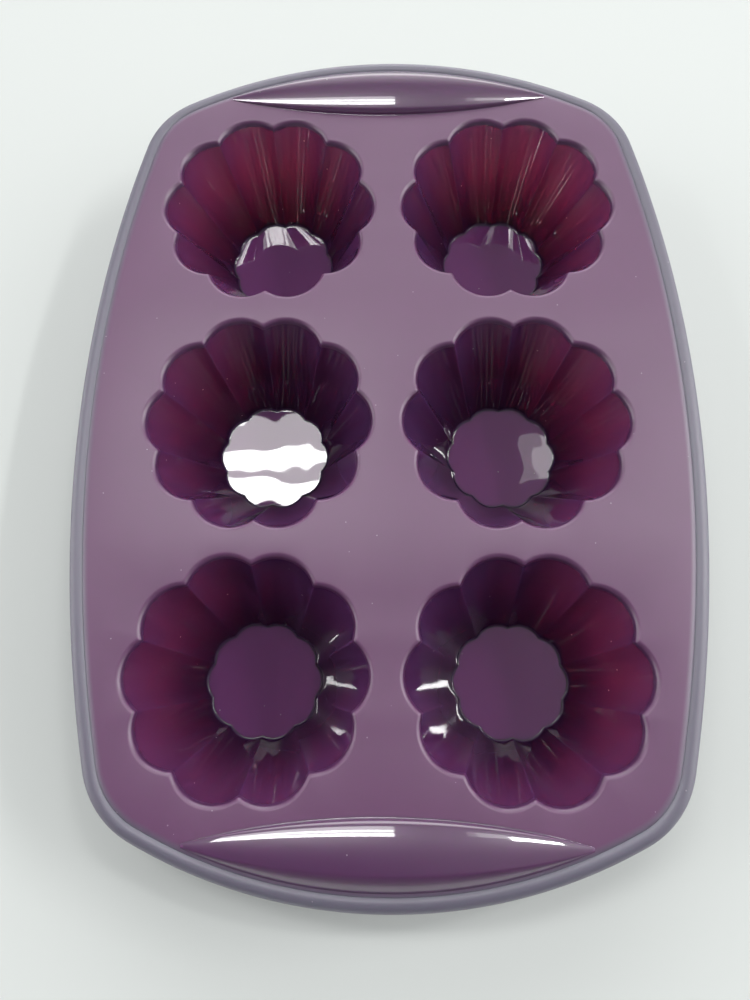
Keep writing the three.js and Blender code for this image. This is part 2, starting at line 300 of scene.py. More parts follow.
@dataclass(frozen=True)
class SiliconeFinish:
    """One finish of the translucent silicone.

    Attributes:
        name: Name of the material.
        slot: Slot of the record that it stands for; not used.
        colour: Main colour, linear.
        drift: Colour that the tone drifts to, linear.
        polish: Smoothness of the surface.
        wave_depth: Depth of the soft waves, in millimetres.
        wave_scale: Soft waves per metre.
        streaks: Depth of the draw lines along the flutes, in millimetres.
        reach: How far red, green and blue light travel inside, in millimetres.
        density: Index of refraction of the skin.
        foot_shade: How much of the colour is left at a cup's foot, where painted shade darkens the colour
            downwards.
        bed_colour: Lighter colour that the rounded bed at the foot turns to instead of the painted shade,
            linear, where the finish has one.
        lip_colour: Colour that the finish turns to inside a cup's lip, linear, where it has lips.
        margin_colour: Paler colour that the finish turns to at the deck's margin, a painted sheen, linear,
            where it has one.
    """

    name: str
    slot: str
    colour: Colour
    drift: Colour
    polish: Polish
    wave_depth: float = 0.02
    wave_scale: float = 55.0
    streaks: float = 0.0
    reach: Colour = (9.0, 5.0, 5.0)
    density: float = 1.7
    foot_shade: float = 1.0
    bed_colour: Colour | None = None
    lip_colour: Colour | None = None
    margin_colour: Colour | None = None

    BED_SHARE = 0.02
    LIP_ROUGHNESS = 0.28
    GLAZE_DENSITY = 1.8
    GRAIN_SCALE = 2600.0
    TONE_SCALE = 22.0
    DUST_SCALE = 160.0
    DUST_SIZE = 0.035
    DUST_COLOUR = (0.55, 0.48, 0.55)
    DUST_STRENGTH = 0.5
    STREAK_SCALE = 26.0
    STREAK_STRETCH = 0.1
    STREAK_DETAIL = 2.0

    def make(self, skin_effect: SkinEffect, dust_effect: DustEffect) -> bpy.types.Material:
        """Builds the material.

        Args:
            skin_effect: Group for the moulded skin.
            dust_effect: Group for the dust.

        Returns:
            The finished material.
        """
        material = bpy.data.materials.new(self.name)
        material.use_nodes = True
        sheet = ShaderSheet(material.node_tree)
        shader = material.node_tree.nodes["Principled BSDF"]
        place = sheet.add("ShaderNodeTexCoord")
        sizes = {"Wave Scale": self.wave_scale, "Grain Scale": self.GRAIN_SCALE,
                 "Tone Scale": self.TONE_SCALE, "Grain Share": self.polish.grain}
        surface = sheet.add("ShaderNodeGroup", sizes, node_tree=skin_effect.tree)
        sheet.link(place.outputs["Object"], surface.inputs["Vector"])
        self._paint(sheet, shader, surface, place, dust_effect)
        self._relief(sheet, shader, surface)
        self._substance(shader)
        return material

    def _paint(self, sheet: ShaderSheet, shader: bpy.types.Node, surface: bpy.types.Node,
               place: bpy.types.Node, dust_effect: DustEffect) -> None:
        """Wires the colour, its drift, the painted shade toward the foot, the lips, the painted sheen at the
        margin and the dust.

        Args:
            sheet: Node tree of the material.
            shader: Its Principled node.
            surface: Its moulded-skin group.
            place: Its coordinates.
            dust_effect: Group for the dust.
        """
        ends = {"A": (*self.colour, 1.0), "B": (*self.drift, 1.0)}
        drift = sheet.add("ShaderNodeMix", ends, data_type="RGBA")
        sheet.link(surface.outputs["Tone"], drift.inputs["Factor"])
        tinted = self._paint_foot_shade(sheet, drift.outputs["Result"])
        if self.lip_colour is not None:
            tinted = self._turn_in(sheet, shader, tinted)
        # Painted sheen: the colour turns paler toward the deck's margin.
        if self.margin_colour is not None:
            margin = sheet.add("ShaderNodeAttribute", attribute_name=Deck.MARGIN)
            tinted = sheet.tint(margin.outputs["Fac"], tinted, self.margin_colour)
        specks = {"Scale": self.DUST_SCALE, "Size": self.DUST_SIZE}
        dust = sheet.add("ShaderNodeGroup", specks, node_tree=dust_effect.tree)
        sheet.link(place.outputs["Object"], dust.inputs["Vector"])
        cover = sheet.add("ShaderNodeMath", {1: self.DUST_STRENGTH}, operation="MULTIPLY")
        sheet.link(dust.outputs["Mask"], cover.inputs[0])
        dusted = sheet.tint(cover.outputs["Value"], tinted, self.DUST_COLOUR)
        sheet.link(dusted, shader.inputs["Base Color"])

    def _paint_foot_shade(self, sheet: ShaderSheet, colour: bpy.types.NodeSocket) -> bpy.types.NodeSocket:
        """Paints shade into a colour, darker from a cup's mouth down to its foot, and turns the rounded bed
        at the foot to a lighter colour.

        Args:
            sheet: Node tree of the material.
            colour: Colour to deepen.

        Returns:
            The colour with painted shade, or the same one where the finish is even.
        """
        if self.foot_shade >= 1.0:
            return colour
        heading = sheet.add("ShaderNodeAttribute", attribute_name=CupPattern.HEADING)
        axes = sheet.add("ShaderNodeSeparateXYZ")
        sheet.link(heading.outputs["Vector"], axes.inputs["Vector"])
        height = axes.outputs["Z"]
        shaded = sheet.add("ShaderNodeVectorMath", operation="SCALE")
        sheet.link(colour, shaded.inputs["Vector"])
        shade = sheet.span(height, (0.0, 1.0), (self.foot_shade, 1.0), "SMOOTHSTEP")
        sheet.link(shade, shaded.inputs["Scale"])
        if self.bed_colour is None:
            return shaded.outputs["Vector"]
        foot = sheet.span(height, (0.0, self.BED_SHARE), (1.0, 0.0))
        return sheet.tint(foot, shaded.outputs["Vector"], self.bed_colour)

    def _turn_in(self, sheet: ShaderSheet, shader: bpy.types.Node,
                 colour: bpy.types.NodeSocket) -> bpy.types.NodeSocket:
        """Turns the finish glossier and into the cups' own colour where the lip dips into a cup.

        Args:
            sheet: Node tree of the material.
            shader: Its Principled node.
            colour: Colour outside the lip.

        Returns:
            The colour with the lips.
        """
        dip = sheet.add("ShaderNodeAttribute", attribute_name=CupPattern.LIP_DIP).outputs["Fac"]
        gloss = sheet.span(dip, (0.0, 1.0), (self.polish.roughness, self.LIP_ROUGHNESS))
        sheet.link(gloss, shader.inputs["Roughness"])
        return sheet.tint(dip, colour, self.lip_colour)

    def _relief(self, sheet: ShaderSheet, shader: bpy.types.Node, surface: bpy.types.Node) -> None:
        """Wires the bump of the waves and grain, and the draw lines along the flutes.

        Args:
            sheet: Node tree of the material.
            shader: Its Principled node.
            surface: Its moulded-skin group.
        """
        bump = sheet.add("ShaderNodeBump", {"Distance": self.wave_depth * MM})
        sheet.link(surface.outputs["Height"], bump.inputs["Height"])
        if self.streaks > 0.0:
            heading = sheet.add("ShaderNodeAttribute", attribute_name=CupPattern.HEADING)
            fineness = {"Scale": self.STREAK_SCALE, "Detail": self.STREAK_DETAIL}
            lines = sheet.add("ShaderNodeTexNoise", fineness)
            stretch = sheet.add("ShaderNodeMapping", {"Scale": (1.0, 1.0, self.STREAK_STRETCH)})
            sheet.link(heading.outputs["Vector"], stretch.inputs["Vector"])
            sheet.link(stretch.outputs["Vector"], lines.inputs["Vector"])
            ridges = sheet.add("ShaderNodeBump", {"Distance": self.streaks * MM})
            sheet.link(lines.outputs["Fac"], ridges.inputs["Height"])
            sheet.link(ridges.outputs["Normal"], bump.inputs["Normal"])
        sheet.link(bump.outputs["Normal"], shader.inputs["Normal"])

    def _substance(self, shader: bpy.types.Node) -> None:
        """Sets what is the same all over: gloss, density and how light travels inside."""
        shader.inputs["Roughness"].default_value = self.polish.roughness
        shader.inputs["IOR"].default_value = self.density
        shader.inputs["Coat Weight"].default_value = self.polish.glaze
        shader.inputs["Coat IOR"].default_value = self.GLAZE_DENSITY
        shader.inputs["Subsurface Weight"].default_value = 1.0
        shader.inputs["Subsurface Radius"].default_value = self.reach
        shader.inputs["Subsurface Scale"].default_value = MM


@dataclass
class Wardrobe:
    """The finishes of the mould and the materials made from them."""

    # Deck: painted sheen makes it paler toward the margin.
    deck: SiliconeFinish = SiliconeFinish(
        "satin_deck", "deck", (0.150, 0.042, 0.138), (0.130, 0.036, 0.122), Polish.SATIN,
        reach=(2.0, 1.2, 1.6), density=1.85, lip_colour=(0.100, 0.028, 0.100),
        margin_colour=SHEENED_RIM_LILAC)
    # Rim: pale grey lilac that is partly painted sheen.
    rim: SiliconeFinish = SiliconeFinish(
        "satin_rim", "rim", SHEENED_RIM_LILAC, (0.14, 0.128, 0.18), Polish.SATIN,
        reach=(2.0, 1.2, 1.6), density=1.85)
    grip: SiliconeFinish = SiliconeFinish(
        "gloss_grip", "grip", (0.098, 0.022, 0.102), (0.086, 0.019, 0.092), Polish.GLAZED,
        reach=(3.0, 1.5, 2.0), density=1.6)
    # Walls: painted shade darkens them toward the foot, over a lighter bed.
    wall: SiliconeFinish = SiliconeFinish(
        "gloss_wall", "cup_wall", (0.074, 0.024, 0.092), (0.064, 0.020, 0.082), Polish.GLOSS, streaks=0.008,
        foot_shade=0.25, bed_colour=(0.145, 0.040, 0.150))
    # Floors: painted shade darkens their edge and underside.
    floor: SiliconeFinish = SiliconeFinish(
        "mirror_floor", "cup_floor", (0.175, 0.038, 0.170), (0.158, 0.034, 0.158), Polish.MIRROR,
        wave_depth=0.16, density=1.85, foot_shade=0.45)
    made: dict[str, bpy.types.Material] = field(default_factory=dict)

    def open(self) -> None:
        """Makes every material."""
        skin_effect = SkinEffect()
        dust_effect = DustEffect()
        for finish in (self.deck, self.rim, self.grip, self.wall, self.floor):
            self.made[finish.name] = finish.make(skin_effect, dust_effect)

    def dress(self, piece: bpy.types.Object, finish: SiliconeFinish) -> None:
        """Gives a piece its material.

        Args:
            piece: Object to dress.
            finish: Finish to give it.
        """
        piece.data.materials.append(self.made[finish.name])


@dataclass
class Bench:
    """Turns finished bmeshes into pieces that ride on the mould.

    Attributes:
        wardrobe: Materials for the pieces.
        crease: Angle past which an edge stays sharp, in degrees.
    """

    wardrobe: Wardrobe
    crease: float = 40.0

    def piece(self, bm: bmesh.types.BMesh, node: str, finish: SiliconeFinish) -> bpy.types.Object:
        """Makes an object that stands for a CAD node.

        Args:
            bm: Finished mesh, freed afterwards.
            node: CAD node that it stands for.
            finish: Finish that it gets.

        Returns:
            The new object.
        """
        bmesh.ops.recalc_face_normals(bm, faces=bm.faces)
        mesh = bpy.data.meshes.new(node)
        bm.to_mesh(mesh)
        bm.free()
        mesh.shade_smooth()
        mesh.set_sharp_from_angle(angle=math.radians(self.crease))
        piece = bpy.data.objects.new(f"{node}_skin", mesh)
        bpy.context.scene.collection.objects.link(piece)
        self.wardrobe.dress(piece, finish)
        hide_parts(node)
        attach(piece, BODY)
        LOG.info("%s: %d faces, %s", piece.name, len(mesh.polygons), finish.name)
        return piece


@dataclass(frozen=True)
class FlutedOutline:
    """A ring of petals between creases, in millimetres.

    Attributes:
        tip: Radius to the petal tips.
        flute: Depth of the creases below the tips.
        crease: Radius that rounds each crease.
    """

    tip: float
    flute: float
    crease: float

    PETALS = 10
    PETAL_STEPS = 14
    CREASE_STEPS = 4

    def toward(self, other: "FlutedOutline", share: float) -> "FlutedOutline":
        """An outline part of the way to another one.

        Args:
            other: Outline to go towards.
            share: How far to go, from 0 to 1.

        Returns:
            The outline in between.
        """
        return FlutedOutline(self.tip + (other.tip - self.tip) * share,
                             self.flute + (other.flute - self.flute) * share,
                             self.crease + (other.crease - self.crease) * share)

    def grown(self, offset: float, crease: float | None = None) -> "FlutedOutline":
        """The outline offset outwards.

        Args:
            offset: Distance to grow by.
            crease: Radius for the creases, if it changes.

        Returns:
            The grown outline.
        """
        half = math.pi / self.PETALS
        reach = self._reach()
        radius = self.tip - reach + offset
        new_crease = reach * math.cos(half) + math.sqrt(radius ** 2 - (reach * math.sin(half)) ** 2)
        tip = self.tip + offset
        return FlutedOutline(tip, tip - new_crease, self.crease if crease is None else crease)

    def _reach(self) -> float:
        """Distance from the cup's axis to a petal's centre."""
        half = math.pi / self.PETALS
        low = self.tip - self.flute
        return (self.tip ** 2 - low ** 2) / (2 * (self.tip - low * math.cos(half)))

    def ring(self, bm: bmesh.types.BMesh, height: float) -> Edges:
        """Draws the outline round the upright axis: one petal and its crease, turned ten times.

        Args:
            bm: Mesh to draw in.
            height: Height to draw at, in metres.

        Returns:
            The closed ring of edges.
        """
        before = set(bm.edges)
        half = math.pi / self.PETALS
        reach = self._reach() * MM
        radius = self.tip * MM - reach
        crease = self.crease * MM
        notch = reach * math.cos(half) + math.sqrt((radius + crease) ** 2 - (reach * math.sin(half)) ** 2)
        turn = math.atan2(notch * math.sin(half), notch * math.cos(half) - reach)
        start = bm.verts.new((reach + radius * math.cos(turn), -radius * math.sin(turn), height))
        end = sweep(bm, [start], (reach, 0.0), 2 * turn, self.PETAL_STEPS)
        notch_centre = (notch * math.cos(half), notch * math.sin(half))
        sweep(bm, end, notch_centre, -2 * (turn - half), self.CREASE_STEPS)
        arc = fresh(bm, before)
        bmesh.ops.spin(bm, geom=[*verts_of(arc), *arc], cent=(0.0, 0.0, 0.0), axis=UP, use_duplicate=True,
                       angle=2 * half * (self.PETALS - 1), steps=self.PETALS - 1)
        weld(bm, fresh(bm, before))
        return fresh(bm, before)


@dataclass
class Levels:
    """Heights of the mould, read from the frame in metres."""

    deck_top: float
    deck_bottom: float
    floor_top: float

    @classmethod
    def read(cls) -> "Levels":
        """Reads the heights off the CAD boxes.

        Returns:
            The heights.
        """
        deck_low, deck_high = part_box("deck")
        floor_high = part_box("cup_middle_left_floor")[1]
        return cls(deck_high.z, deck_low.z, floor_high.z)

    def share(self, height: float) -> float:
        """Share of a cup's depth at a height."""
        return (height - self.floor_top) / (self.deck_top - self.floor_top)


@dataclass
class CupPattern:
    """The shape that all six cups share, drawn once round an upright axis, in millimetres.

    Attributes:
        levels: Heights of the mould.
        mouth: Outline at the deck's top.
        foot: Outline at the floor.
        wall_top: Thickness of the wall under the deck.
        wall_foot: Thickness of the wall at the floor.
        lip: Radius of the mouth's rounded lip.
        bed: Radius where the wall meets the floor.
        floor_edge: Radius of the floor's lower edge.
    """

    levels: Levels
    mouth: FlutedOutline = FlutedOutline(38.4, 3.9, 0.9)
    foot: FlutedOutline = FlutedOutline(20.3, 1.4, 0.8)
    wall_top: float = 1.4
    wall_foot: float = 2.2
    lip: float = 1.0
    bed: float = 0.8
    floor_edge: float = 0.9

    HEADING = "petal_heading"
    LIP_DIP = "lip_dip"
    OUTER_CREASE = 0.3
    WALL_RINGS = 10
    OUTER_RINGS = 6
    BED_STEPS = 8
    LIP_STEPS = 6
    EDGE_STEPS = 4

    def __post_init__(self) -> None:
        """Draws the wall and the floor."""
        self.wall_mesh = self._draw_wall()
        self.floor_mesh = self._draw_floor()

    def inside(self, height: float) -> FlutedOutline:
        """Inner outline at a height in metres."""
        return self.foot.toward(self.mouth, self.levels.share(height))

    def outside(self, height: float) -> FlutedOutline:
        """Outer outline at a height in metres."""
        thickness = self.wall_foot + (self.wall_top - self.wall_foot) * self.levels.share(height)
        return self.inside(height).grown(thickness, self.OUTER_CREASE)

    def _draw_wall(self) -> bmesh.types.BMesh:
        """Draws the wall as one closed ring of skins, with a rounded bed at the floor.

        Each point keeps which way it faces from the axis and, inside, its share of the cup's depth, which
        sets the painted shade there; the outside keeps a share of 1 and gets none.

        Returns:
            The wall's mesh.
        """
        low = self.levels.floor_top
        high = self.levels.deck_bottom
        slope = math.atan2(self.levels.deck_top - low, (self.mouth.tip - self.foot.tip) * MM)
        bed_reach = self.bed * math.tan(slope / 2)
        bm = bmesh.new()
        heading = bm.verts.layers.float_vector.new(self.HEADING)
        rings = []
        for step in range(self.BED_STEPS + 1):
            angle = slope * (step / self.BED_STEPS) ** 2
            height = low + self.bed * (1 - math.cos(angle)) * MM
            rings.append(self.foot.grown(self.bed * math.sin(angle) - bed_reach).ring(bm, height))
        start = low + self.bed * (1 - math.cos(slope)) * MM
        for step in range(1, self.WALL_RINGS + 1):
            height = start + (high - start) * step / self.WALL_RINGS
            rings.append(self.inside(height).ring(bm, height))
        for step in range(self.OUTER_RINGS + 1):
            height = high + (low - high) * step / self.OUTER_RINGS
            rings.append(self.outside(height).ring(bm, height))
        skin(bm, [*rings, rings[0]])
        outer = verts_of(sum(rings[-self.OUTER_RINGS - 1:], []))
        for vert in bm.verts:
            across = vert.co.xy.normalized()
            vert[heading] = (across.x, across.y, 1.0 if vert in outer else self.levels.share(vert.co.z))
        return bm

    def _draw_floor(self) -> bmesh.types.BMesh:
        """Draws the flat floor with its rounded lower edge, and marks its top, which keeps its colour while
        the edge and underside get painted shade.

        Returns:
            The floor's mesh.
        """
        edge = self.outside(self.levels.floor_top)
        bm = bmesh.new()
        heading = bm.verts.layers.float_vector.new(self.HEADING)
        rings = []
        for along, rise in quarter_round(self.floor_edge, self.EDGE_STEPS):
            rings.append(edge.grown(along - self.floor_edge).ring(bm, rise * MM))
        rings.append(edge.ring(bm, self.levels.floor_top))
        for vert in verts_of(rings[-1]):
            vert[heading] = (0.0, 0.0, 1.0)
        skin(bm, rings)
        bmesh.ops.holes_fill(bm, edges=rings[0] + rings[-1], sides=0)
        return bm

    def draw_mouth(self, bm: bmesh.types.BMesh) -> None:
        """Draws the hole in the deck, from the underside up round its lip.

        Args:
            bm: Mesh to draw in.
        """
        bottom = self.levels.deck_bottom
        rings = [self.inside(bottom).ring(bm, bottom)]
        start = self.levels.deck_top - self.lip * MM
        for rise, flare in quarter_round(self.lip, self.LIP_STEPS):
            height = start + rise * MM
            rings.append(self.inside(height).grown(flare).ring(bm, height))
        skin(bm, rings)
        dip = bm.verts.layers.float[self.LIP_DIP]
        for vert in verts_of(sum(rings, [])):
            vert[dip] = min(1.0, (self.levels.deck_top - vert.co.z) / (self.lip * MM))


@dataclass
class Cup:
    """One fluted cup: a wall that hangs from the deck and the floor that closes it.

    Attributes:
        name: Start of the cup's node names.
        pattern: Shape of the cups.
    """

    name: str
    pattern: CupPattern

    def __post_init__(self) -> None:
        """Reads the cup's axis off its floor's CAD box."""
        low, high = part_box(f"{self.name}_floor")
        self.axis = Vector((low.x + high.x, low.y + high.y, 0.0)) / 2

    def build(self, bench: Bench) -> None:
        """Sets copies of the pattern's wall and floor on the cup's axis."""
        parts = (("wall", self.pattern.wall_mesh, bench.wardrobe.wall),
                 ("floor", self.pattern.floor_mesh, bench.wardrobe.floor))
        for part, mesh, finish in parts:
            bm = mesh.copy()
            bmesh.ops.translate(bm, verts=bm.verts, vec=self.axis)
            bench.piece(bm, f"{self.name}_{part}", finish)


@dataclass
class MouldOutline:
    """Plan of the mould: bowed sides and ends between rounded corners, in metres.

    Attributes:
        half_width: Half the width over the rim.
        half_length: Half the length over the rim.
        side_bow: How far each side bows over the mould's length.
        end_bow: How far each end bows over its width.
        corner: Radius of the corners.
    """

    half_width: float
    half_length: float
    side_bow: float = 24.6 * MM
    end_bow: float = 37.2 * MM
    corner: float = 30.0 * MM

    SIDE_STEPS = 24
    CORNER_STEPS = 14
    END_STEPS = 24

    @classmethod
    def read(cls) -> "MouldOutline":
        """Reads the overall size off the rim's CAD box.

        Returns:
            The outline.
        """
        low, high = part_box("rim_bead")
        return cls(high.x, high.y)

    def __post_init__(self) -> None:
        """Works out the arcs from the bows."""
        self.side_radius = self._bow_radius(self.half_length, self.side_bow)
        self.end_radius = self._bow_radius(self.half_width, self.end_bow)
        self.side_x = self.half_width - self.side_radius
        self.end_y = self.half_length - self.end_radius
        between = math.hypot(self.side_x, self.end_y)
        side_arm = self.side_radius - self.corner
        end_arm = self.end_radius - self.corner
        spread = math.acos((between ** 2 + side_arm ** 2 - end_arm ** 2) / (2 * between * side_arm))
        self.side_angle = spread + math.atan2(self.end_y, -self.side_x)
        self.corner_x = self.side_x + side_arm * math.cos(self.side_angle)
        self.corner_y = side_arm * math.sin(self.side_angle)
        self.end_angle = math.atan2(self.corner_y - self.end_y, self.corner_x)

    @staticmethod
    def _bow_radius(half_chord: float, bow: float) -> float:
        """Radius of an arc from half its chord and its bow."""
        return (half_chord ** 2 + bow ** 2) / (2 * bow)

    def run(self, bm: bmesh.types.BMesh, geom: list) -> Edges:
        """Runs points or a profile round the whole outline.

        Args:
            bm: Mesh to work in.
            geom: Vertices and edges at the middle of the right side.

        Returns:
            All edges made, the first profile's included.
        """
        before = set(bm.edges) - set(geom)
        last = sweep(bm, geom, (self.side_x, 0.0), self.side_angle, self.SIDE_STEPS)
        last = sweep(bm, last, (self.corner_x, self.corner_y), self.end_angle - self.side_angle,
                     self.CORNER_STEPS)
        sweep(bm, last, (0.0, self.end_y), math.pi / 2 - self.end_angle, self.END_STEPS)
        for axis in ("X", "Y"):
            edges = fresh(bm, before)
            faces = {face for edge in edges for face in edge.link_faces}
            bmesh.ops.mirror(bm, geom=[*verts_of(edges), *edges, *faces], axis=axis, merge_dist=WELD)
            weld(bm, fresh(bm, before))
        return fresh(bm, before)

    def ring(self, bm: bmesh.types.BMesh, inset: float, height: float) -> Edges:
        """Draws the outline drawn in from the rim's edge.

        Args:
            bm: Mesh to draw in.
            inset: Distance in from the edge, in metres.
            height: Height to draw at, in metres.

        Returns:
            The closed ring of edges.
        """
        start = bm.verts.new((self.half_width - inset, 0.0, height))
        return self.run(bm, [start])


@dataclass
class Rim:
    """The rolled bead round the deck, in millimetres.

    Attributes:
        outline: Plan of the mould.
        levels: Heights of the mould.
        bead: Radius of the bead.
        groove: Angle past the crest where the bead meets the deck, in degrees.
        ledge: Reach of the thickening under the deck.
        ledge_tip: Thickness of its inner edge.
    """

    outline: MouldOutline
    levels: Levels
    bead: float = 3.0
    groove: float = 35.0
    ledge: float = 3.3
    ledge_tip: float = 0.4

    BEAD_STEPS = 24

    @property
    def groove_inset(self) -> float:
        """Distance from the rim's edge to the groove."""
        return self.bead * (1 + math.sin(math.radians(self.groove)))

    def build(self, bench: Bench) -> None:
        """Builds the bead by turning its section along every arc of the outline."""
        bm = bmesh.new()
        edge = self.outline.half_width
        centre = Vector((edge - self.bead * MM, 0.0, self.levels.deck_top - self.bead * MM))
        angle = math.radians(self.groove)
        crest = bm.verts.new(centre + Vector((-math.sin(angle), 0.0, math.cos(angle))) * self.bead * MM)
        last = bmesh.ops.spin(bm, geom=[crest], cent=centre, axis=(0.0, 1.0, 0.0),
                              angle=math.pi + 2 * angle, steps=self.BEAD_STEPS)["geom_last"][0]
        inner = edge - (self.groove_inset + self.ledge) * MM
        bottom = self.levels.deck_bottom
        corners = [(inner, bottom - self.ledge_tip * MM), (inner, bottom),
                   (edge - self.groove_inset * MM, bottom)]
        for x, z in corners:
            corner = bm.verts.new((x, 0.0, z))
            bm.edges.new((last, corner))
            last = corner
        bm.edges.new((last, crest))
        self.outline.run(bm, [*bm.verts, *bm.edges])
        bench.piece(bm, "rim_bead", bench.wardrobe.rim)


@dataclass
class Grip:
    """A lens-shaped hollow pad at one end: a short nose, a long ramp and a falling back, in millimetres.

    Attributes:
        node: Its CAD node.
        outline: Plan of the mould.
        levels: Heights of the mould.
        side: 1 at the rear and -1 at the front.
        height: Height of the crest over the deck.
        nose: Width and height of the steep nose next to the cups.
        back: Width of the back that falls to the bead.
        back_round: How far the crest runs on before the back falls.
        inner_radius: Radius of the edge next to the cups.
        wall: Thickness of the pad.
        flare: Radius where the nose meets the deck.
        tip_trim: Length left off each tip.
        foot: How far the outer foot sinks behind the bead.
    """

    node: str
    outline: MouldOutline
    levels: Levels
    side: int
    height: float = 4.1
    nose: Point = (1.4, 2.1)
    back: float = 5.6
    back_round: float = 1.6
    inner_radius: float = 246.0
    wall: float = 2.0
    flare: float = 0.4
    tip_trim: float = 2.0
    foot: float = 1.2

    STATIONS = 72
    COLUMNS = 48
    FOOT_END = 0.05
    BACK_END = 0.32
    RAMP_END = 0.70
    NOSE_END = 0.90
    NOSE_LEAN = 0.3

    def __post_init__(self) -> None:
        """Reads the grip's edges off its CAD box."""
        low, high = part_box(self.node)
        self.inner_y = min(abs(low.y), abs(high.y))
        self.outer_y = max(abs(low.y), abs(high.y))

    def reach(self, inset: float) -> float:
        """Half the length of the plan drawn in by an inset.

        Args:
            inset: Distance to draw in, in metres.

        Returns:
            Half the distance from tip to tip, in metres.
        """
        inner = self.inner_radius * MM - inset
        outer = self.outer_radius - inset
        inner_centre = self.inner_y + self.inner_radius * MM
        gap = inner_centre - self.outline.end_y
        along = (gap ** 2 + outer ** 2 - inner ** 2) / (2 * gap)
        return math.sqrt(outer ** 2 - along ** 2)

    @property
    def outer_radius(self) -> float:
        """Radius of the edge next to the bead."""
        return self.outer_y - self.outline.end_y

    def edges_at(self, x: float, inset: float) -> Point:
        """Inner and outer edge of the plan.

        Args:
            x: Place along the grip, in metres.
            inset: Distance to draw in, in metres.

        Returns:
            Distances of the two edges from the mould's middle.
        """
        inner_centre = self.inner_y + self.inner_radius * MM
        inner = inner_centre - math.sqrt((self.inner_radius * MM - inset) ** 2 - x ** 2)
        outer = self.outline.end_y + math.sqrt((self.outer_radius - inset) ** 2 - x ** 2)
        return inner, outer

    def lens(self, bm: bmesh.types.BMesh, inset: float, height: float) -> Edges:
        """Draws the plan as a closed ring.

        Args:
            bm: Mesh to draw in.
            inset: Distance to draw in, in metres.
            height: Height to draw at, in metres.

        Returns:
            The ring of edges.
        """
        before = set(bm.edges)
        tip = self.reach(inset)
        tip_y = self.edges_at(tip, inset)[0]
        inner_centre = self.inner_y + self.inner_radius * MM
        inner_turn = math.asin(tip / (self.inner_radius * MM - inset))
        outer_turn = math.asin(tip / (self.outer_radius - inset))
        start = bm.verts.new((tip, self.side * tip_y, height))
        last = sweep(bm, [start], (0.0, self.side * inner_centre), -2 * self.side * inner_turn, self.STATIONS)
        sweep(bm, last, (0.0, self.side * self.outline.end_y), -2 * self.side * outer_turn, self.STATIONS)
        weld(bm, fresh(bm, before))
        return fresh(bm, before)

    def _section(self, share: float, width: float) -> Point:
        """A point of the pad's section at its widest, from the bead's side to the cups' side.

        Args:
            share: Place along the section, from 0 to 1.
            width: Width of the section.

        Returns:
            Distance outwards from the inner edge and height over the deck.
        """
        crest = (width - self.back, self.height)
        nose_width, nose_height = self.nose
        middle = (crest[0] + nose_width) / 2
        fall = (self.height - nose_height) / (middle - nose_width)
        nose_corner = (self.NOSE_LEAN, nose_height - fall * (nose_width - self.NOSE_LEAN))
        if share < self.FOOT_END:
            return width, -self.foot * (1 - share / self.FOOT_END)
        if share < self.BACK_END:
            along = (share - self.FOOT_END) / (self.BACK_END - self.FOOT_END)
            return bow((width, 0.0), (crest[0] + self.back_round, self.height), crest, along)
        if share < self.RAMP_END:
            along = (share - self.BACK_END) / (self.RAMP_END - self.BACK_END)
            return bow(crest, (middle, self.height), self.nose, along)
        if share < self.NOSE_END:
            along = (share - self.RAMP_END) / (self.NOSE_END - self.RAMP_END)
            return bow(self.nose, nose_corner, (0.0, self.flare), along)
        along = (share - self.NOSE_END) / (1.0 - self.NOSE_END)
        return bow((0.0, self.flare), (0.0, 0.0), (-self.flare, 0.0), along)

    def _dome(self, bm: bmesh.types.BMesh, inset: float, height: float, base: float) -> Edges:
        """Draws one face of the shell as a shaped grid.

        Args:
            bm: Mesh to draw in.
            inset: Distance to draw in, in metres.
            height: Height of the crest over the deck, in metres.
            base: Height that the face's border is set to, or 0 to leave it.

        Returns:
            The border of the face.
        """
        before = set(bm.edges)
        grid = bmesh.ops.create_grid(bm, x_segments=self.STATIONS, y_segments=self.COLUMNS, size=1.0)
        inner, outer = self.edges_at(0.0, inset)
        full = outer - inner
        reach = self.reach(inset) - self.tip_trim * MM
        for vert in grid["verts"]:
            border = vert.is_boundary
            x = reach * math.sin(math.pi / 2 * vert.co.x)
            inner, outer = self.edges_at(x, inset)
            size = (outer - inner) / full
            across, up = self._section((1 - vert.co.y) / 2, full / MM)
            y = inner + across * size * MM
            z = base if border and base > 0.0 else self.levels.deck_top + up * size * height / self.height
            vert.co = (x, self.side * y, z)
        return [edge for edge in fresh(bm, before) if edge.is_boundary]

    def build(self, bench: Bench) -> None:
        """Builds the pad's two faces and joins their borders."""
        bm = bmesh.new()
        outer = self._dome(bm, 0.0, self.height * MM, 0.0)
        inner = self._dome(bm, self.wall * MM, (self.height - self.wall) * MM, self.levels.deck_bottom)
        bmesh.ops.bridge_loops(bm, edges=outer + inner)
        bench.piece(bm, self.node, bench.wardrobe.grip)


